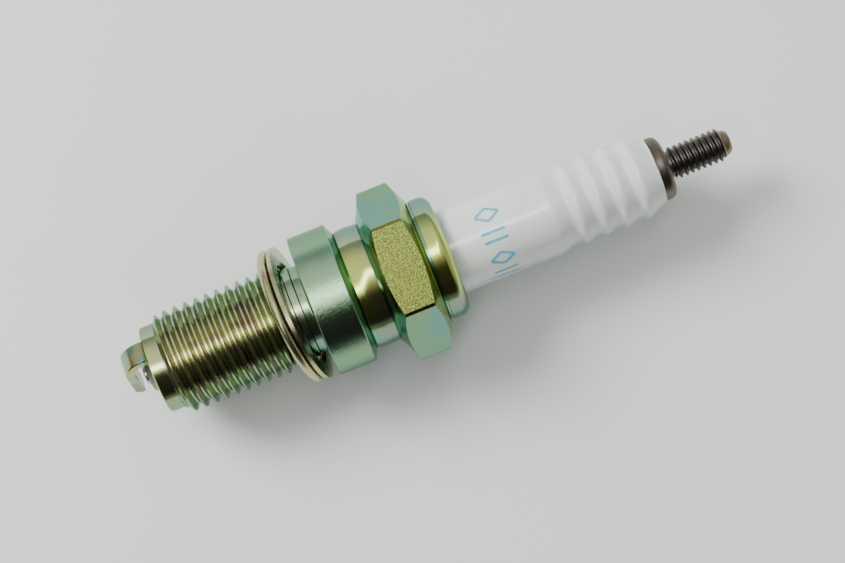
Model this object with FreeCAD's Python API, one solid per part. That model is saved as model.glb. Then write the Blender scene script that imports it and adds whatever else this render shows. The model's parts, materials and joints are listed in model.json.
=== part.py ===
import FreeCAD, Part
import math
import os

# Spark plug lying level, in mm. X runs along the plug: x = 0 is the seat face of the collar, the
# electrode end is at -X and the terminal at +X. Z is up, and two of the hexagon's flats face +Z and -Z.

V = FreeCAD.Vector
CENTRE = V(0, 0, 0)
AXIS = V(1, 0, 0)

# shell, electrode end
REACH = 19.0
SHELL_THREAD_R = 5.94
SHELL_PITCH = 1.25
THREAD_FROM, THREAD_TO = -17.35, -4.1
PILOT_R = 5.05
NECK_R = 5.1
NECK_BAND_R, NECK_BAND_FROM, NECK_BAND_TO = 5.32, -2.05, -1.0
MOUTH_R = 3.65
# inner shoulder that carries the insulator, a 45 degree cone
LAND_R, TRUNK_BORE_R = 3.15, 4.0
SHOULDER_X = -8.6
# shell, seat collar to rolled rim
COLLAR_R, COLLAR_TO = 8.2, 4.4
RING_R, RING_FROM, RING_TO = 7.0, 5.1, 7.75
HEX_FLATS = 17.5
HEX_CORNER_R = HEX_FLATS / 2 / math.cos(math.pi / 6)
HEX_EDGE_ROUND = 0.6
HEX_KNEE_R, HEX_KNEE_FROM, HEX_KNEE_TO = 8.4, 8.45, 13.3
HEX_CORNER_FROM, HEX_CORNER_TO, HEX_TO = 9.2, 12.56, 13.85
UPPER_BORE_R = 5.75
RIM_R, RIM_FROM, RIM_TO, RIM_ROUND = 7.1, 14.15, 16.4, 1.2
RIM_MOUTH_R = 4.95

# insulator
NOSE_X, NOSE_KNEE_X = -19.9, -18.6
NOSE_TIP_R, NOSE_KNEE_R, NOSE_ROOT_R = 2.1, 2.7, 2.9
PIN_BORE_R, STEM_BORE_R, PIN_STEP_X = 1.3, 2.0, -5.0
INSULATOR_CONE_X = -8.25
TRUNK_R = 3.85
FLANGE_R, FLANGE_FROM, FLANGE_TO = 5.5, 4.2, 9.0
HIDDEN_R, LAND_FROM = 4.7, 16.43
CAP_LAND_R, LAND_TO = 4.88, 28.6
RIB_COUNT, RIB_PITCH = 4, 2.5
VALLEY_X, VALLEY_R = 30.4, 4.28
PEAK_LEAD, PEAK_R = 0.85, 4.92
TOP_X, TOP_R = 41.2, 4.05

# terminal
STUD_THREAD_R, STUD_CREST_R, STUD_PITCH = 1.96, 1.9, 0.7
STUD_FLANGE_R, STUD_FLANGE_T = 3.7, 1.5
STUD_NECK_R = 1.5
STUD_THREAD_FROM, STUD_THREAD_TO, STUD_END = 43.2, 49.2, 50.3
SHANK_R, SHANK_KEY_R, SHANK_KEY_FROM, SHANK_FROM = 1.7, 1.3, 9.0, 10.8

# firing pin and the fill above it
PIN_R, PIN_TIP_X, CORE_R = 1.25, -20.3, 0.65
PIN_HEAD_R, PIN_HEAD_T = 1.8, 0.8
FILL_R = 1.98
LOWER_GLASS_TO, RESISTOR_TO, UPPER_GLASS_TO = -0.5, 8.0, 10.5

# side strap
SPARK_GAP = 0.65
STRAP_T, STRAP_W, STRAP_EDGE = 1.1, 2.6, 0.22
STRAP_OUTER_R, STRAP_BEND, STRAP_PAST_AXIS = 5.1, 2.5, 1.6
STRAP_TRIM, STRAP_BEVEL = 0.4, 0.9
STRAP_TURN = 27.0

# packing inside the upper bore
WIRE_R = 0.5
LOWER_WIRE_X, UPPER_WIRE_X = 10.01, 14.12
TALC_FROM, TALC_TO = 10.55, 13.6

# folded crush ring, tilted on the neck as it hangs before the plug is fitted
SHEET_T, FOLD_GAP = 0.45, 0.22
CRUSH_R, CRUSH_BORE_R = 8.05, 5.75
CRUSH_TILT, CRUSH_TURN = 8.3, -17.0
CRUSH_PIVOT_DROP = 10.05


def section(points):
    """Flat face from an outline in (x, radius); a third number on a point rounds that corner."""
    count = len(points)
    flat = [V(p[0], p[1], 0) for p in points]
    corners = []
    for i, here in enumerate(flat):
        if len(points[i]) == 2:
            corners.append([here])
            continue
        radius = points[i][2]
        back = (flat[i - 1] - here).normalize()
        ahead = (flat[(i + 1) % count] - here).normalize()
        half = back.getAngle(ahead) / 2
        inward = (back + ahead).normalize()
        reach = radius / math.tan(half)
        corners.append([here + back * reach, here + inward * (radius / math.sin(half) - radius),
                        here + ahead * reach])
    edges = []
    for i, corner in enumerate(corners):
        following = corners[(i + 1) % count][0]
        if len(corner) == 3:
            edges.append(Part.Arc(*corner).toShape())
        if corner[-1].distanceToPoint(following) > 1e-6:
            edges.append(Part.makeLine(corner[-1], following))
    return Part.Face(Part.Wire(edges))


def turned(points):
    """Solid of revolution about the plug's axis."""
    return section(points).revolve(CENTRE, AXIS, 360)


def rod(radius, start, end):
    return Part.makeCylinder(radius, end - start, V(start, 0, 0), AXIS)


def tube(outer, inner, start, end):
    return rod(outer, start, end).cut(rod(inner, start, end))


def cut_thread(body, major, pitch, start, end):
    """Right-hand 60 degree groove along X, one turn at a time, leaving a crest flat of an eighth pitch."""
    depth, lift = 0.6134 * pitch, 0.08 * pitch
    root, mouth = major - depth, major + lift
    half_root = pitch / 12
    half_mouth = half_root + (depth + lift) * math.tan(math.pi / 6)
    groove = Part.makePolygon([V(root, 0, -half_root), V(root, 0, half_root), V(mouth, 0, half_mouth),
                               V(mouth, 0, -half_mouth), V(root, 0, -half_root)])
    turn = Part.makeHelix(pitch, pitch, root).makePipeShell([groove], True, True)
    turn.rotate(CENTRE, V(0, 1, 0), 90)
    turns = [turn.translated(V(start + i * pitch, 0, 0)) for i in range(math.ceil((end - start) / pitch))]
    return body.cut(turns[0].fuse(turns[1:])).Solids[0]


def hexagon():
    """The spanner hexagon, with a cone turned on each end."""
    ring = [V(RING_TO, HEX_CORNER_R * math.cos(math.pi / 3 * i), HEX_CORNER_R * math.sin(math.pi / 3 * i))
            for i in range(7)]
    prism = Part.Face(Part.makePolygon(ring)).extrude(V(HEX_TO - RING_TO, 0, 0))
    long_edges = [e for e in prism.Edges if abs(e.tangentAt(e.FirstParameter).x) > 0.9]
    prism = prism.makeFillet(HEX_EDGE_ROUND, long_edges)
    return prism.common(turned([
        (RING_TO, 0), (RING_TO, RING_R), (HEX_KNEE_FROM, HEX_KNEE_R, 0.4), (HEX_CORNER_FROM, HEX_CORNER_R),
        (HEX_CORNER_TO, HEX_CORNER_R), (HEX_KNEE_TO, HEX_KNEE_R, 0.4), (HEX_TO, RIM_R + 0.2), (HEX_TO, 0)]))


def metal_shell():
    outside = turned([
        (-REACH, 0), (-REACH, PILOT_R - 0.1), (-REACH + 0.1, PILOT_R), (THREAD_FROM, PILOT_R),
        (THREAD_FROM + 0.6, SHELL_THREAD_R), (THREAD_TO - 0.4, SHELL_THREAD_R), (THREAD_TO, NECK_R),
        (NECK_BAND_FROM, NECK_R), (NECK_BAND_FROM + 0.15, NECK_BAND_R), (NECK_BAND_TO - 0.15, NECK_BAND_R),
        (NECK_BAND_TO, NECK_R), (0, NECK_R, 0.3), (0, COLLAR_R, 0.15), (COLLAR_TO, COLLAR_R, 0.2),
        (RING_FROM - 0.05, RING_R - 0.2), (RING_FROM + 0.05, RING_R - 0.05),
        ((RING_FROM + RING_TO) / 2, RING_R + 0.08, 6.0), (RING_TO, RING_R - 0.05),
        (HEX_TO, RING_R - 0.05), (RIM_FROM - 0.05, RING_R - 0.05), (RIM_FROM, RIM_R),
        (RIM_TO, RIM_R, RIM_ROUND), (RIM_TO, 0)])
    bore = turned([
        (-REACH - 1, 0), (-REACH - 1, MOUTH_R + 0.15), (-REACH, MOUTH_R + 0.15), (-REACH + 0.15, MOUTH_R),
        (SHOULDER_X - 1.2, MOUTH_R), (SHOULDER_X - 0.7, LAND_R), (SHOULDER_X, LAND_R),
        (SHOULDER_X + TRUNK_BORE_R - LAND_R, TRUNK_BORE_R), (FLANGE_FROM - 1.9, TRUNK_BORE_R),
        (FLANGE_FROM - 0.1, UPPER_BORE_R), (RIM_FROM + 0.5, UPPER_BORE_R), (RIM_FROM + 1.2, RIM_MOUTH_R),
        (RIM_TO - 0.1, RIM_MOUTH_R), (RIM_TO, RIM_MOUTH_R + 0.1), (RIM_TO + 1, RIM_MOUTH_R + 0.1),
        (RIM_TO + 1, 0)])
    body = outside.fuse(hexagon()).removeSplitter().cut(bore)
    return cut_thread(body, SHELL_THREAD_R, SHELL_PITCH, THREAD_FROM - 0.6, THREAD_TO + 0.7)


def insulator():
    outline = [
        (NOSE_X, 0), (NOSE_X, NOSE_TIP_R, 0.25), (NOSE_KNEE_X, NOSE_KNEE_R),
        (INSULATOR_CONE_X - 1, NOSE_ROOT_R),
        (INSULATOR_CONE_X, NOSE_ROOT_R), (INSULATOR_CONE_X + TRUNK_R - NOSE_ROOT_R, TRUNK_R),
        (FLANGE_FROM - 1.7, TRUNK_R), (FLANGE_FROM, FLANGE_R, 0.3), (FLANGE_TO, FLANGE_R, 0.3),
        (FLANGE_TO + FLANGE_R - HIDDEN_R, HIDDEN_R, 0.2), (LAND_FROM - 0.18, HIDDEN_R),
        (LAND_FROM, CAP_LAND_R), (LAND_TO, CAP_LAND_R, 2.0)]
    for i in range(RIB_COUNT):
        valley = VALLEY_X + i * RIB_PITCH
        outline += [(valley, VALLEY_R, 0.8), (valley + PEAK_LEAD, PEAK_R, 0.8)]
    outline += [(TOP_X - 0.35, TOP_R, 0.2), (TOP_X, TOP_R - 0.05, 0.15), (TOP_X, 0)]
    bore = rod(PIN_BORE_R, NOSE_X - 1, PIN_STEP_X).fuse(rod(STEM_BORE_R, PIN_STEP_X, TOP_X + 1))
    return turned(outline).cut(bore)


def terminal_stud():
    flange_to = TOP_X + STUD_FLANGE_T
    body = turned([
        (SHANK_KEY_FROM, 0), (SHANK_KEY_FROM, SHANK_KEY_R), (SHANK_FROM, SHANK_KEY_R),
        (SHANK_FROM, SHANK_R), (TOP_X, SHANK_R), (TOP_X, STUD_FLANGE_R, 0.15),
        (flange_to, STUD_FLANGE_R, 0.8), (flange_to, STUD_NECK_R, 0.1), (STUD_THREAD_FROM, STUD_NECK_R),
        (STUD_THREAD_FROM + 0.3, STUD_CREST_R), (STUD_THREAD_TO, STUD_CREST_R),
        (STUD_THREAD_TO + 0.3, STUD_NECK_R), (STUD_END - 0.25, STUD_NECK_R - 0.17),
        (STUD_END, STUD_NECK_R - 0.4), (STUD_END, 0)])
    return cut_thread(body, STUD_THREAD_R, STUD_PITCH, flange_to + 0.36, STUD_THREAD_TO + 0.6)


def centre_electrode():
    head_to = PIN_STEP_X + PIN_HEAD_T
    pin = turned([(PIN_TIP_X, 0), (PIN_TIP_X, PIN_R - 0.1), (PIN_TIP_X + 0.1, PIN_R), (PIN_STEP_X, PIN_R),
                  (PIN_STEP_X, PIN_HEAD_R), (head_to, PIN_HEAD_R), (head_to, 0)])
    return pin.cut(rod(CORE_R + 0.01, PIN_TIP_X + 1.5, head_to + 1))


def ground_electrode():
    """Square-drawn strap, welded on the shell's end face and bent over the firing pin."""
    inner = PIN_TIP_X - SPARK_GAP
    outer = inner - STRAP_T
    side = section([
        (-REACH, STRAP_OUTER_R - STRAP_T), (inner, STRAP_OUTER_R - STRAP_T, STRAP_BEND - STRAP_T),
        (inner, -STRAP_PAST_AXIS), (outer, STRAP_BEVEL - STRAP_PAST_AXIS), (outer, STRAP_OUTER_R, STRAP_BEND),
        (-REACH, STRAP_OUTER_R)])
    side.translate(V(0, 0, -STRAP_W / 2))
    strap = side.extrude(V(0, 0, STRAP_W))
    drawn_edges = []
    for edge in strap.Edges:
        box = edge.BoundBox
        across_end = box.XMin > -REACH - 1e-6 or box.YMax < 1e-6 + STRAP_BEVEL - STRAP_PAST_AXIS
        if box.ZLength < 1e-6 and not across_end:
            drawn_edges.append(edge)
    strap = strap.makeFillet(STRAP_EDGE, drawn_edges)
    half = STRAP_W / 2
    for hand in (-1, 1):
        corner = Part.makePolygon([V(outer - 1, -STRAP_PAST_AXIS - 1, hand * (half - STRAP_TRIM)),
                                   V(outer - 1, -STRAP_PAST_AXIS, hand * (half - STRAP_TRIM)),
                                   V(outer - 1, -STRAP_PAST_AXIS + STRAP_TRIM, hand * half),
                                   V(outer - 1, -STRAP_PAST_AXIS + STRAP_TRIM, hand * (half + 1)),
                                   V(outer - 1, -STRAP_PAST_AXIS - 1, hand * (half + 1)),
                                   V(outer - 1, -STRAP_PAST_AXIS - 1, hand * (half - STRAP_TRIM))])
        strap = strap.cut(Part.Face(corner).extrude(V(STRAP_T + 2, 0, 0)))
    strap.rotate(CENTRE, AXIS, 90 - STRAP_TURN)
    return strap


def seat_packing():
    """Washer filling the gap between the shell's shoulder and the insulator's cone."""
    low, high = LAND_R + 0.05, TRUNK_R - 0.05
    shell_x = SHOULDER_X - LAND_R
    cone_x = INSULATOR_CONE_X - NOSE_ROOT_R - 0.01
    return turned([(shell_x + low, low), (shell_x + high, high), (cone_x + high, high), (cone_x + low, low)])


def wire_ring(x):
    return Part.makeTorus((HIDDEN_R + UPPER_BORE_R) / 2, WIRE_R, V(x, 0, 0), AXIS)


def gasket():
    """Sheet folded into three layers; the fold at the rim faces the electrode end."""
    fold_r = SHEET_T + FOLD_GAP / 2
    depth = 3 * SHEET_T + 2 * FOLD_GAP
    layer = SHEET_T + FOLD_GAP
    ring = turned([
        (-depth, CRUSH_BORE_R + 0.1), (-depth, CRUSH_R, fold_r), (-layer, CRUSH_R, fold_r),
        (-layer, CRUSH_BORE_R + SHEET_T, FOLD_GAP / 2), (-SHEET_T, CRUSH_BORE_R + SHEET_T, FOLD_GAP / 2),
        (-SHEET_T, CRUSH_R - 0.05), (0, CRUSH_R - 0.05), (0, CRUSH_BORE_R, fold_r),
        (-layer - SHEET_T, CRUSH_BORE_R, fold_r), (-layer - SHEET_T, CRUSH_R - SHEET_T, FOLD_GAP / 2),
        (SHEET_T - depth, CRUSH_R - SHEET_T, FOLD_GAP / 2), (SHEET_T - depth, CRUSH_BORE_R + 0.1)])
    ring.rotate(V(0, 0, -CRUSH_PIVOT_DROP), V(0, 1, 0), -CRUSH_TILT)
    ring.rotate(CENTRE, AXIS, CRUSH_TURN)
    return ring


pieces = {
    "metal_shell": metal_shell(),
    "gasket": gasket(),
    "ground_electrode": ground_electrode(),
    "insulator": insulator(),
    "terminal_stud": terminal_stud(),
    "centre_electrode": centre_electrode(),
    "centre_electrode_core": rod(CORE_R, PIN_TIP_X + 1.5, PIN_STEP_X + PIN_HEAD_T),
    "lower_glass_seal": rod(FILL_R, PIN_STEP_X + PIN_HEAD_T, LOWER_GLASS_TO),
    "resistor": rod(FILL_R, LOWER_GLASS_TO, RESISTOR_TO),
    "upper_glass_seal": rod(FILL_R, RESISTOR_TO, UPPER_GLASS_TO).cut(
        rod(SHANK_KEY_R, SHANK_KEY_FROM, UPPER_GLASS_TO)),
    "seat_packing": seat_packing(),
    "lower_wire_ring": wire_ring(LOWER_WIRE_X),
    "talc_ring": tube(UPPER_BORE_R - 0.02, HIDDEN_R + 0.02, TALC_FROM, TALC_TO),
    "upper_wire_ring": wire_ring(UPPER_WIRE_X),
}

os.makedirs("parts", exist_ok=True)
for name, shape in pieces.items():
    shape.exportStep("parts/" + name + ".step")
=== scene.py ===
import json
import math

import bmesh
import bpy
from mathutils import Euler, Matrix, Vector

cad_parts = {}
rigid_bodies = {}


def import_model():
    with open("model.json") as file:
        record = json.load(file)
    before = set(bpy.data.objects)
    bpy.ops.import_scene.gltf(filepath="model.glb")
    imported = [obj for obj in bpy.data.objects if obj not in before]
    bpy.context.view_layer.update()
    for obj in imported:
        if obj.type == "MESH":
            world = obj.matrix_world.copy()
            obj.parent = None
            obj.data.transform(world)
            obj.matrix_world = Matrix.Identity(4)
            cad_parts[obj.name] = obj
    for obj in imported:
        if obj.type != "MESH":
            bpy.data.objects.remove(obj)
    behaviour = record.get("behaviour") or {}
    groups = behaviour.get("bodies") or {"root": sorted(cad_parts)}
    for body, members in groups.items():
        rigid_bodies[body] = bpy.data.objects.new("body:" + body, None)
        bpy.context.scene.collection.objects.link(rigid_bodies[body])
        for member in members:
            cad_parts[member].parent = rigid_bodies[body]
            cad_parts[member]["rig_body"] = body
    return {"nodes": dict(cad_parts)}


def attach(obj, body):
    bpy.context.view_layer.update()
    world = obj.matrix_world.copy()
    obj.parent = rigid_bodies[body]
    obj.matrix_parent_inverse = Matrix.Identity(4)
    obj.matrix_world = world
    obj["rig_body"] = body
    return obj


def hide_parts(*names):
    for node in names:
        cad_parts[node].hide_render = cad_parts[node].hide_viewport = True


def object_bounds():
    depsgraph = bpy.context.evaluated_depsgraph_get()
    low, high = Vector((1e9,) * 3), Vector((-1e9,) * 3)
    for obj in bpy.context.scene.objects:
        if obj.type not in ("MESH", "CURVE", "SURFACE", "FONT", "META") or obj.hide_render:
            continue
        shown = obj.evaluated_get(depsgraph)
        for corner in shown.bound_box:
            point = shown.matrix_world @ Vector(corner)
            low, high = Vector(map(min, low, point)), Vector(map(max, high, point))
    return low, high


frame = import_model()
cad_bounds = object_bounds()

MM = 0.001


# node graphs -------------------------------------------------------------------------------------

class Graph:
    """A material's or world's node tree, built left to right. Methods return output sockets."""

    def __init__(self, tree):
        self.tree = tree
        tree.nodes.clear()

    def connect(self, node, inputs):
        """Link the sockets among the inputs, and set the plain values."""
        for key, value in inputs.items():
            if isinstance(value, bpy.types.NodeSocket):
                self.tree.links.new(value, node.inputs[key])
            else:
                node.inputs[key].default_value = value

    def add(self, kind, inputs=None, **settings):
        node = self.tree.nodes.new("ShaderNode" + kind)
        for key, value in settings.items():
            setattr(node, key, value)
        self.connect(node, inputs or {})
        return node

    def math(self, operation, a, b=0.0, clamp=False):
        return self.add("Math", {0: a, 1: b}, operation=operation, use_clamp=clamp).outputs[0]

    def plus(self, a, b, clamp=False):
        return self.math("ADD", a, b, clamp)

    def minus(self, a, b):
        return self.math("SUBTRACT", a, b)

    def times(self, a, b):
        return self.math("MULTIPLY", a, b)

    def smooth(self, value, low, high):
        """0 below low, 1 above high; with low the larger one, 1 below high and 0 above low."""
        flip = low > high
        node = self.add("MapRange", {0: value, 1: min(low, high), 2: max(low, high),
                                     3: 1.0 if flip else 0.0, 4: 0.0 if flip else 1.0},
                        interpolation_type="SMOOTHSTEP")
        return node.outputs[0]

    def band(self, value, low, high, soft):
        """1 between low and high, falling to 0 over soft outside them."""
        return self.times(self.smooth(value, low - soft, low), self.smooth(value, high + soft, high))

    def mix(self, factor, a, b):
        node = self.add("Mix", data_type="RGBA", blend_type="MIX")
        self.connect(node, {0: factor, 6: a, 7: b})
        return node.outputs[2]

    def ramp(self, value, low, high, stops):
        """Colour by value: stops are (value, colour) from low to high."""
        share = self.add("MapRange", {0: value, 1: low, 2: high}).outputs[0]
        node = self.add("ValToRGB", {0: share})
        marks = node.color_ramp.elements
        while len(marks) < len(stops):
            marks.new(0.5)
        for mark, (place, colour) in zip(marks, stops):
            mark.position = (place - low) / (high - low)
            mark.color = colour
        return node.outputs[0]

    def noise(self, vector, scale, detail=3.0, roughness=0.55):
        return self.add("TexNoise", {"Vector": vector, "Scale": scale, "Detail": detail,
                                     "Roughness": roughness}).outputs[0]

    def streaks(self, position, scale, detail=2.0):
        """Noise with its own number of features per metre along each axis."""
        stretched = self.add("Mapping", {"Vector": position, "Scale": scale}).outputs[0]
        return self.noise(stretched, 1.0, detail)

    def position(self):
        """The point's place in the object's own metres."""
        return self.add("TexCoord").outputs["Object"]

    def split(self, vector):
        return self.add("SeparateXYZ", {0: vector}).outputs

    def bump(self, height, distance, strength, normal=None):
        inputs = {"Strength": strength, "Distance": distance, "Height": height}
        if normal is not None:
            inputs["Normal"] = normal
        return self.add("Bump", inputs).outputs[0]

    def surface(self, **sockets):
        shader = self.add("BsdfPrincipled", {key.replace("_", " "): v for key, v in sockets.items()})
        self.add("OutputMaterial", {"Surface": shader.outputs[0]})


def material(name):
    made = bpy.data.materials.new(name)
    made.use_nodes = True
    return made, Graph(made.node_tree)


def rgb(r, g, b):
    return (r, g, b, 1.0)


# plating -----------------------------------------------------------------------------------------

TEAL_BLUE = rgb(0.16, 0.32, 0.28)
TEAL_GREEN = rgb(0.20, 0.35, 0.20)
OLIVE_SIDE = rgb(0.34, 0.38, 0.20)
EMERALD = rgb(0.20, 0.42, 0.32)
LEAF = rgb(0.60, 0.64, 0.20)
GRAINED_LEAF = rgb(0.20, 0.25, 0.05)
GOLD = rgb(0.66, 0.76, 0.18)
OLIVE = rgb(0.62, 0.62, 0.36)
MOSS = rgb(0.56, 0.59, 0.33)
SAGE = rgb(0.46, 0.56, 0.34)
MINT = rgb(0.36, 0.58, 0.34)
ROSE = rgb(0.36, 0.20, 0.26)
BLUE = rgb(0.12, 0.32, 0.38)
# dark specks in the hexagon's grain pits: painted shade
PIT_SHADE = rgb(0.10, 0.10, 0.03)
GRAZING = rgb(0.62, 0.78, 0.70)

# stretches of the shell along its axis, from the seat plane, and how softly each one's look ends
THREAD = (-17.4 * MM, -0.2 * MM, 0.2 * MM)
COLLAR = (0.1 * MM, 4.3 * MM, 0.1 * MM)
RING = (5.1 * MM, 7.75 * MM, 0.2 * MM)
HEXAGON = (8.6 * MM, 13.4 * MM, 0.1 * MM)
HEXAGON_AND_CONES = (8.4 * MM, 13.9 * MM, 0.05 * MM)
RIM = (14.1 * MM, 16.5 * MM, 0.2 * MM)
COLLAR_GROOVE = (4.5 * MM, 5.0 * MM, 0.1 * MM)
RING_GROOVE = (7.9 * MM, 8.4 * MM, 0.1 * MM)

# the plating's colour where it faces up, lighter than the teal down the sides as painted sheen, in mm along
# the axis from the pilot's end to the rim
CROWN = [
    (-19.5, GOLD), (-17.7, OLIVE), (-13.74, OLIVE), (-4.38, MOSS), (-1.5, SAGE), (0.12, MINT), (4.26, MINT),
    (4.548, EMERALD), (4.98, EMERALD), (5.196, GOLD), (7.5, LEAF), (7.932, EMERALD), (8.4, EMERALD),
    (8.94, LEAF), (13.08, LEAF), (13.548, EMERALD), (13.98, EMERALD), (14.268, GOLD), (16.5, GOLD)]


def plated_shell():
    """Yellow-green chromate on zinc, with painted sheen by facing: lighter gold and leaf on top, darker teal
    down the sides, emerald in the grooves.

    side is 0 on the line that faces up or down, and 1 on the line that faces level. The hexagon's flats
    change colour at the edge between them, at a side of 0.5, and the round parts change over a wide band.
    """
    made, g = material("plated_shell")
    position = g.position()
    x, y, z = g.split(position)
    radius = g.math("SQRT", g.plus(g.times(y, y), g.times(z, z)))
    side = g.math("ABSOLUTE", g.math("DIVIDE", y, radius))
    hexagon = g.band(x, *HEXAGON)
    drift = g.noise(position, 230.0, 2.0)

    # painted sheen: the colour follows which way the surface faces, with lighter crown colours facing up and
    # down and darker teal facing level
    crown = g.ramp(x, CROWN[0][0] * MM, CROWN[-1][0] * MM, [(place * MM, colour) for place, colour in CROWN])
    teal = g.mix(g.smooth(g.noise(position, 170.0, 2.0), 0.40, 0.60), TEAL_BLUE, TEAL_GREEN)
    teal = g.mix(g.times(g.smooth(x, -3.0 * MM, -4.5 * MM), 0.65), teal, OLIVE_SIDE)
    wavy_side = g.plus(side, g.times(g.minus(drift, 0.5), 0.30))
    painted_sheen_side = g.mix(hexagon, g.smooth(wavy_side, 0.25, 0.95), g.smooth(side, 0.49, 0.53))
    groove = g.plus(g.band(x, *COLLAR_GROOVE), g.band(x, *RING_GROOVE))
    colour = g.mix(g.times(painted_sheen_side, g.minus(1.0, groove)), crown, teal)

    # the hexagon's two cones, coloured by facing as painted shade and painted light: darker emerald on the
    # cone towards the electrodes, lighter leaf on the cone towards the terminal
    facing = g.split(g.add("TexCoord").outputs["Normal"])[0]
    painted_cone_light_and_shade = g.times(g.smooth(g.math("ABSOLUTE", facing), 0.25, 0.45), g.band(x, *HEXAGON_AND_CONES))
    colour = g.mix(g.times(painted_cone_light_and_shade, 0.7), colour, g.mix(g.smooth(facing, -0.2, 0.2), EMERALD, LEAF))

    # rose and blue interference tints, low on the flanks of the narrow rings where they are placed by facing
    # as painted sheen, and in random patches on the thread
    tint = g.mix(g.smooth(g.noise(position, 330.0, 2.0), 0.44, 0.56), ROSE, BLUE)
    narrow = g.plus(g.band(x, *RING), g.band(x, *RIM))
    colour = g.mix(g.times(g.times(narrow, g.smooth(side, 0.62, 0.86)), 0.40), colour, tint)
    patch = g.smooth(g.noise(position, 520.0, 2.0), 0.52, 0.64)
    threaded = g.band(x, *THREAD)
    colour = g.mix(g.times(g.times(patch, threaded), 0.45), colour, ROSE)

    # crystalline grain on the hexagon and the collar, smooth elsewhere
    grain = g.noise(position, 6200.0, 2.0, 0.6)
    grained = g.plus(hexagon, g.band(x, *COLLAR), clamp=True)
    # the hexagon's flats facing up and down take a darker grained leaf, part of the painted sheen by facing,
    # and dark specks in the grain's pits as painted shade
    crown_grain = g.times(hexagon, g.smooth(side, 0.53, 0.49))
    painted_pit_shade = g.smooth(grain, 0.56, 0.44)
    colour = g.mix(crown_grain, colour, GRAINED_LEAF)
    colour = g.mix(g.times(g.times(crown_grain, painted_pit_shade), 0.80), colour, PIT_SHADE)

    fine = g.streaks(position, (9000.0, 600.0, 600.0))
    rough = g.plus(0.09, g.times(fine, 0.08))
    rough = g.plus(rough, g.times(g.plus(grained, threaded, clamp=True), 0.05))
    normal = g.bump(fine, 0.004 * MM, 0.25)
    normal = g.bump(g.times(grain, grained), 0.04 * MM, 0.6, normal)
    normal = g.bump(drift, 0.05 * MM, 0.25, normal)
    g.surface(Base_Color=colour, Metallic=1.0, Roughness=rough, Normal=normal, Specular_Tint=GRAZING)
    return made


def plated_gasket():
    """The same plating, duller and patchy, on the rolled sheet of the crush ring."""
    made, g = material("plated_gasket")
    position = g.position()
    colour = g.ramp(g.noise(position, 380.0, 3.0), 0.0, 1.0, [
        (0.30, rgb(0.30, 0.40, 0.24)), (0.46, rgb(0.48, 0.50, 0.26)),
        (0.58, rgb(0.54, 0.50, 0.28)), (0.72, rgb(0.44, 0.37, 0.25))])
    fine = g.streaks(position, (12000.0, 900.0, 900.0))
    rough = g.plus(0.18, g.times(fine, 0.16))
    g.surface(Base_Color=colour, Metallic=1.0, Roughness=rough, Normal=g.bump(fine, 0.01 * MM, 0.5))
    return made


# bare metals, ceramic and hidden pieces ----------------------------------------------------------

def nickel(name, low, high, rough_at, tip_highlight_to=None):
    """Nickel alloy; tip_highlight_to is where the bright tip ends, a painted highlight on the pin's end."""
    made, g = material(name)
    position = g.position()
    colour = g.mix(g.smooth(g.noise(position, 600.0, 3.0), 0.35, 0.65), low, high)
    # painted highlight: a bright band on the last part of the pin's tip
    if tip_highlight_to is not None:
        tip = g.smooth(g.split(position)[0], tip_highlight_to + 0.1 * MM, tip_highlight_to - 0.1 * MM)
        colour = g.mix(tip, colour, rgb(0.72, 0.70, 0.62))
    fine = g.streaks(position, (2500.0, 9000.0, 9000.0), 3.0)
    rough = g.plus(rough_at, g.times(fine, 0.14))
    g.surface(Base_Color=colour, Metallic=1.0, Roughness=rough, Normal=g.bump(fine, 0.012 * MM, 0.5))
    return made


def white_ceramic():
    """Glazed alumina: a very slightly uneven glaze over a grey-white body, and a bare, rougher nose painted
    dark as painted shade.
    """
    made, g = material("white_ceramic")
    position = g.position()
    cloud = g.noise(position, 160.0, 3.0)
    colour = g.mix(g.smooth(cloud, 0.3, 0.7), rgb(0.54, 0.58, 0.55), rgb(0.60, 0.64, 0.61))
    speck = g.smooth(g.noise(position, 2600.0, 2.0), 0.735, 0.77)
    colour = g.mix(g.times(speck, 0.35), colour, rgb(0.45, 0.42, 0.38))
    # painted shade: the nose, inside the shell and under the strap, is painted dark
    nose = g.smooth(g.split(position)[0], -8.0 * MM, -9.0 * MM)
    colour = g.mix(nose, colour, rgb(0.20, 0.21, 0.18))
    rough = g.plus(g.plus(g.times(cloud, 0.08), g.times(nose, 0.35)), 0.10)
    normal = g.bump(g.noise(position, 420.0, 2.0), 0.02 * MM, 0.25)
    g.surface(Base_Color=colour, Metallic=0.0, Roughness=rough, Normal=normal, IOR=1.65,
              Coat_Weight=0.7, Coat_Roughness=0.06)
    return made


def steel_terminal():
    """Gunmetal steel, browner on the flange and tan at the tip."""
    made, g = material("steel_terminal")
    position = g.position()
    flange, thread, tip = rgb(0.17, 0.135, 0.11), rgb(0.145, 0.135, 0.12), rgb(0.30, 0.25, 0.15)
    colour = g.ramp(g.split(position)[0], 41.0 * MM, 50.6 * MM, [
        (41.0 * MM, rgb(0.12, 0.105, 0.09)), (42.632 * MM, flange), (43.304 * MM, thread),
        (48.872 * MM, thread), (49.448 * MM, rgb(0.22, 0.18, 0.11)), (50.6 * MM, tip)])
    cloud = g.noise(position, 900.0, 3.0)
    colour = g.mix(g.times(g.smooth(cloud, 0.4, 0.7), 0.40), colour, rgb(0.24, 0.21, 0.18))
    fine = g.streaks(position, (9000.0, 1200.0, 1200.0))
    rough = g.plus(0.28, g.times(fine, 0.18))
    g.surface(Base_Color=colour, Metallic=1.0, Roughness=rough, Normal=g.bump(fine, 0.01 * MM, 0.5))
    return made


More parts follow.
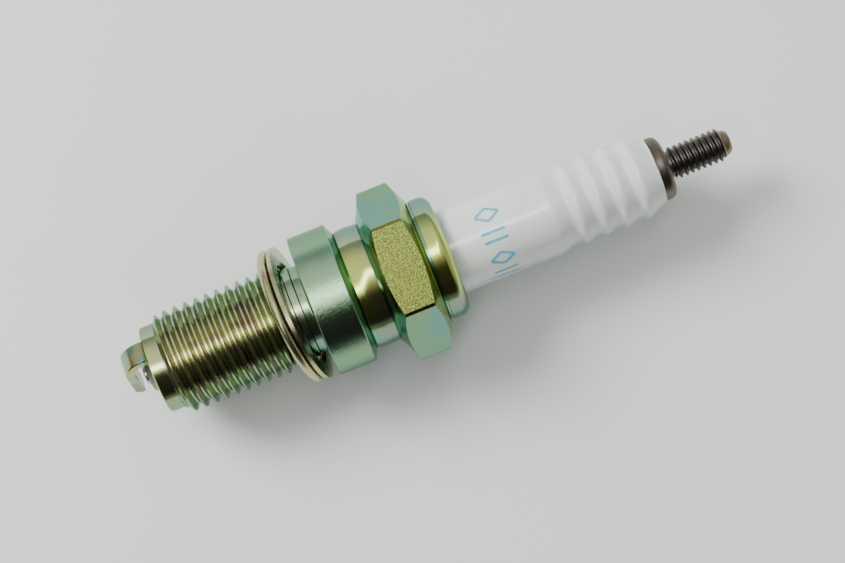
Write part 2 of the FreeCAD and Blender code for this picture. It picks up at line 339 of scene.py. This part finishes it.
def dull(name, low, high, rough, metallic=0.0):
    """A plain cloudy surface between two colours."""
    made, g = material(name)
    cloud = g.noise(g.position(), 1500.0, 3.0)
    colour = g.mix(g.smooth(cloud, 0.35, 0.65), low, high)
    level = g.plus(rough, g.times(cloud, 0.1))
    g.surface(Base_Color=colour, Metallic=metallic, Roughness=level, Normal=g.bump(cloud, 0.02 * MM, 0.5))
    return made


# pieces ------------------------------------------------------------------------------------------

# the crush ring leans about a line off the plug's axis, and that line is turned round the plug
CRUSH_TILT, CRUSH_TURN = math.radians(8.3), math.radians(-17.0)
CRUSH_PIVOT = Matrix.Translation((0, 0, -10.05 * MM))
CRUSH_POSE = (Matrix.Rotation(CRUSH_TURN, 4, "X") @ CRUSH_PIVOT
              @ Matrix.Rotation(-CRUSH_TILT, 4, "Y") @ CRUSH_PIVOT.inverted())

WELD = 0.0002 * MM
SHARP = math.radians(28.0)
# how closely two corners' places and two radii have to agree to lie on one circle of a turned piece
CIRCLE_STEP = 0.003 * MM
SAME_RADIUS = 0.002 * MM
ON_AXIS = 0.001 * MM
# a level strip at least this long is a cylinder, and a shorter one is a facet of a rounded edge
CYLINDER_LENGTH = 0.5 * MM
LEVEL, UPRIGHT, NEARLY_FLAT, NEARLY_RADIAL = 0.002, 0.9999, 0.01, 0.97


def is_turned(normal, centre, radii):
    """Whether a face with this normal, centre and corner radii could lie on a surface turned about X."""
    spoke = math.hypot(normal.y, normal.z)
    if spoke < NEARLY_FLAT:
        return True
    if abs(normal.x) < NEARLY_FLAT:
        return max(radii) - min(radii) < SAME_RADIUS
    reach = spoke * max(math.hypot(centre.y, centre.z), 1e-9)
    return abs(normal.y * centre.y + normal.z * centre.z) / reach > NEARLY_RADIAL


def corner_slope(alike, normals, lengths):
    """The X part of the normal where these faces of a turned surface meet."""
    slopes = [normals[f].x for f in alike]
    levellest = min(alike, key=lambda f: abs(normals[f].x))
    steepest = max(slopes, key=abs)
    if abs(normals[levellest].x) < LEVEL and lengths[levellest] > CYLINDER_LENGTH:
        return 0.0
    if abs(steepest) > UPRIGHT:
        return math.copysign(1.0, steepest)
    return (min(slopes) + max(slopes)) / 2


def turned_normals(mesh, pose):
    """Set the normals of a mesh turned about the X axis of pose to true cylinders, cones and planes.

    All corners on one circle share a slope. Faces that aren't turned, such as the hexagon's flats, share an
    area-weighted normal with their like.
    """
    home, turn = pose.inverted(), pose.to_3x3()
    back = turn.transposed()
    points = [home @ v.co for v in mesh.vertices]
    radii = [math.hypot(p.y, p.z) for p in points]
    normals = [back @ face.normal for face in mesh.polygons]
    around = [[] for _ in points]
    turned, lengths = [], []
    for face, normal in zip(mesh.polygons, normals):
        for v in face.vertices:
            around[v].append(face.index)
        places = [points[v].x for v in face.vertices]
        lengths.append(max(places) - min(places))
        turned.append(is_turned(normal, home @ face.center, [radii[v] for v in face.vertices]))

    same_edge = math.cos(SHARP)
    corners, circles = [], {}
    for face in mesh.polygons:
        own, own_turned = normals[face.index], turned[face.index]
        for v in face.vertices:
            alike = [f for f in around[v] if turned[f] == own_turned and own.dot(normals[f]) > same_edge]
            if not own_turned or radii[v] < ON_AXIS:
                total = sum((normals[f] * mesh.polygons[f].area for f in alike), Vector())
                corners.append((None, total.normalized()))
                continue
            slope = corner_slope(alike, normals, lengths)
            spoke = points[v].yz / radii[v]
            outward = math.copysign(1.0, own.y * spoke.x + own.z * spoke.y)
            circle = (round(points[v].x / CIRCLE_STEP), round(radii[v] / CIRCLE_STEP),
                      round(slope * 3 + 0.1), outward)
            circles.setdefault(circle, []).append(slope)
            corners.append((circle, spoke))

    mean_slope = {circle: sum(slopes) / len(slopes) for circle, slopes in circles.items()}
    made = []
    for circle, direction in corners:
        if circle is not None:
            slope, outward = mean_slope[circle], circle[-1]
            level = outward * math.sqrt(max(0.0, 1.0 - slope * slope))
            direction = Vector((slope, level * direction.x, level * direction.y))
        made.append((turn @ direction).normalized())
    mesh.normals_split_custom_set(made)


def refined(node, look):
    """The CAD node's own mesh with welded corners and clean shading, shown in its place."""
    cad = frame["nodes"][node]
    mesh = cad.data.copy()
    mesh.name = node + "_look"
    work = bmesh.new()
    work.from_mesh(mesh)
    bmesh.ops.remove_doubles(work, verts=work.verts, dist=WELD)
    work.to_mesh(mesh)
    work.free()
    mesh.shade_smooth()
    if node == "ground_electrode":
        mesh.set_sharp_from_angle(angle=SHARP)
    else:
        turned_normals(mesh, CRUSH_POSE if node == "gasket" else Matrix())
    mesh.materials.clear()
    mesh.materials.append(look)
    made = bpy.data.objects.new(node + "_look", mesh)
    bpy.context.scene.collection.objects.link(made)
    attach(made, cad["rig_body"])
    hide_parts(node)


MARK_R, MARK_STROKE, MARK_STEPS = 4.886 * MM, 0.32 * MM, 6
MARK_FROM, MARK_TO = 20.2 * MM, 23.0 * MM
# each mark's place round the insulator from the line that faces up, and its width, in degrees
DIAMONDS = ((-27.0, 20.0), (36.0, 18.0))
DOUBLE_BARS = ((4.0, 12.0), (64.0, 12.0))


def mark_strokes():
    """Centre lines of the marks as pairs of (x, distance round the insulator) points."""
    def around(degrees):
        return math.radians(degrees) * MARK_R

    middle = (MARK_FROM + MARK_TO) / 2
    strokes = []
    for centre, width in DIAMONDS:
        s, half = around(centre), around(width) / 2
        points = [(MARK_FROM, s), (middle, s + half), (MARK_TO, s), (middle, s - half)]
        strokes += zip(points, points[1:] + points[:1])
    for centre, width in DOUBLE_BARS:
        s, half = around(centre), around(width) / 2
        strokes += [((MARK_FROM, s + half), (MARK_TO, s + half)),
                    ((MARK_FROM, s - half), (MARK_TO, s - half))]
    return strokes


def print_marks(look):
    """Generic diamonds and double bars fired on the insulator's land, wrapped on its surface."""
    mesh = bpy.data.meshes.new("insulator_marks")
    work = bmesh.new()
    for (x0, s0), (x1, s1) in mark_strokes():
        length = math.hypot(x1 - x0, s1 - s0)
        across = Vector((s0 - s1, x1 - x0)) / length * MARK_STROKE / 2
        rows = []
        for i in range(MARK_STEPS + 1):
            x, s = x0 + (x1 - x0) * i / MARK_STEPS, s0 + (s1 - s0) * i / MARK_STEPS
            row = []
            for edge in (-1, 1):
                angle = (s + edge * across.y) / MARK_R
                row.append(work.verts.new((x + edge * across.x, -MARK_R * math.sin(angle),
                                           MARK_R * math.cos(angle))))
            rows.append(row)
        for one, two in zip(rows, rows[1:]):
            face = work.faces.new((one[0], one[1], two[1], two[0]))
            face.normal_update()
            if face.normal.dot(face.calc_center_median() * Vector((0, 1, 1))) < 0:
                face.normal_flip()
    work.to_mesh(mesh)
    work.free()
    mesh.materials.append(look)
    made = bpy.data.objects.new("insulator_marks", mesh)
    bpy.context.scene.collection.objects.link(made)
    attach(made, "plug")


strap = nickel("nickel_strap", rgb(0.22, 0.40, 0.26), rgb(0.46, 0.44, 0.20), 0.16)
# the pin's bright tip is a painted highlight
pin = nickel("nickel_pin", rgb(0.14, 0.13, 0.12), rgb(0.26, 0.24, 0.22), 0.24, -20.0 * MM)
copper = dull("copper_core", rgb(0.62, 0.30, 0.18), rgb(0.75, 0.42, 0.28), 0.3, 1.0)
glass = dull("seal_glass", rgb(0.10, 0.08, 0.07), rgb(0.20, 0.17, 0.15), 0.5)
resistor_body = dull("resistor_ceramic", rgb(0.05, 0.05, 0.05), rgb(0.12, 0.11, 0.10), 0.6)
packing = dull("packing_steel", rgb(0.42, 0.42, 0.42), rgb(0.55, 0.54, 0.52), 0.35, 1.0)
talc = dull("talc", rgb(0.70, 0.69, 0.64), rgb(0.80, 0.79, 0.75), 0.8)
print_blue = dull("teal_print", rgb(0.05, 0.32, 0.44), rgb(0.08, 0.40, 0.52), 0.25)

LOOKS = {
    "metal_shell": (plated_shell(), "plated_shell"),
    "gasket": (plated_gasket(), "plated_gasket"),
    "ground_electrode": (strap, "nickel_strap"),
    "insulator": (white_ceramic(), "white_ceramic"),
    "terminal_stud": (steel_terminal(), "steel_terminal"),
    "centre_electrode": (pin, "nickel_pin"),
    "centre_electrode_core": (copper, "copper_core"),
    "lower_glass_seal": (glass, "seal_glass"),
    "resistor": (resistor_body, "resistor_ceramic"),
    "upper_glass_seal": (glass, "seal_glass"),
    "seat_packing": (packing, "packing_steel"),
    "lower_wire_ring": (packing, "packing_steel"),
    "talc_ring": (talc, "talc"),
    "upper_wire_ring": (packing, "packing_steel"),
}
for node, (look, slot) in LOOKS.items():
    refined(node, look)
print_marks(print_blue)


# stage -------------------------------------------------------------------------------------------

FLOOR_HALF = 1.5


def floor():
    """A plain pale sheet at the plug's lowest point."""
    low = cad_bounds[0].z
    mesh = bpy.data.meshes.new("floor")
    corners = [(-FLOOR_HALF, -FLOOR_HALF, low), (FLOOR_HALF, -FLOOR_HALF, low),
               (FLOOR_HALF, FLOOR_HALF, low), (-FLOOR_HALF, FLOOR_HALF, low)]
    mesh.from_pydata(corners, [], [(0, 1, 2, 3)])
    made = bpy.data.objects.new("floor", mesh)
    bpy.context.scene.collection.objects.link(made)
    look, g = material("floor")
    position = g.position()
    colour = g.mix(g.noise(position, 30.0, 4.0), rgb(0.61, 0.64, 0.62), rgb(0.65, 0.68, 0.66))
    g.surface(Base_Color=colour, Roughness=0.7, Normal=g.bump(g.noise(position, 900.0), 0.02 * MM, 0.2))
    mesh.materials.append(look)


# the bar's brightness, and the wall's at degrees from overhead round the X axis, towards -Y above 0
BAR_GLOW = 6.0
WALL_GLOW = [
    (-180, 0.42), (-92, 0.42), (-80, 0.44), (-55, 0.85), (-35, 0.95), (-20, 1.00), (-8, 0.85), (2, 0.42),
    (10, 0.20), (17, 0.07), (24, 0.03), (76, 0.02), (86, 0.25), (180, 0.42)]
# the bar on a ceiling at height 1: its offset from overhead, then the half-width or half-length of each
# part and how softly it ends
BAR_OFFSET, BAR_CORE, BAR_SKIRT, BAR_HALF = 0.16, (0.03, 0.07), (0.06, 0.14), (0.45, 0.20)


def sky():
    """A grey room with a dark wall on the -Y side, dim ends, and a soft bright bar overhead.

    The bar runs from -X and -Y to +X and +Y at 45 degrees, and passes to the +Y side of the zenith.
    """
    world = bpy.data.worlds.new("room")
    bpy.context.scene.world = world
    world.use_nodes = True
    g = Graph(world.node_tree)
    x, y, z = g.split(g.add("TexCoord").outputs["Generated"])
    angle = g.math("DEGREES", g.math("ARCTAN2", g.times(y, -1.0), z))
    glow = g.ramp(angle, -180.0, 180.0, [(a, rgb(*(level / BAR_GLOW,) * 3)) for a, level in WALL_GLOW])
    ends = g.mix(g.smooth(x, -0.2, 0.2), rgb(0.030, 0.027, 0.028), rgb(0.070, 0.074, 0.068))
    glow = g.mix(g.smooth(g.math("ABSOLUTE", x), 0.45, 0.90), glow, ends)

    def symmetric(value, half, soft):
        return g.band(value, -half, half, soft)

    ceiling_x, ceiling_y = g.math("DIVIDE", x, z), g.math("DIVIDE", y, z)
    across = g.times(g.minus(g.minus(ceiling_y, ceiling_x), BAR_OFFSET), 0.7071)
    along = g.times(g.plus(ceiling_x, ceiling_y), 0.7071)
    bar = g.plus(g.times(symmetric(across, *BAR_CORE), 0.80), g.times(symmetric(across, *BAR_SKIRT), 0.20))
    bar = g.times(bar, symmetric(along, *BAR_HALF))
    bar = g.times(bar, g.smooth(z, 0.0, 0.1))
    glow = g.mix(bar, glow, rgb(1.0, 1.0, 0.98))
    back = g.add("Background", {"Color": glow, "Strength": BAR_GLOW})
    g.add("OutputWorld", {"Surface": back.outputs[0]})


def lamp(name, place, size, power):
    """Soft rectangular lamp aimed at the plug, seen in no reflection: it only lifts the shadows."""
    light = bpy.data.lights.new(name, "AREA")
    light.shape = "RECTANGLE"
    light.size, light.size_y = size
    light.energy = power
    made = bpy.data.objects.new(name, light)
    made.location = place
    made.rotation_euler = (Vector((0.012, 0, 0)) - Vector(place)).to_track_quat("-Z", "Y").to_euler()
    made.visible_glossy = False
    bpy.context.scene.collection.objects.link(made)


def camera():
    """Nearly straight above, turned so that the plug rises to the right at about 22 degrees."""
    data = bpy.data.cameras.new("camera")
    data.sensor_width = 36.0
    data.lens = 89.47
    data.clip_start = 0.01
    made = bpy.data.objects.new("camera", data)
    made.location = (8.492 * MM, -9.486 * MM, 235.63 * MM)
    made.rotation_euler = Euler([math.radians(a) for a in (2.067, -0.196, -21.846)], "XYZ")
    bpy.context.scene.collection.objects.link(made)
    bpy.context.scene.camera = made


floor()
sky()
lamp("key", (-0.30, 0.36, 0.42), (0.26, 0.26), 7.5)
lamp("fill", (0.10, -0.50, 0.45), (0.60, 0.40), 1.2)
camera()
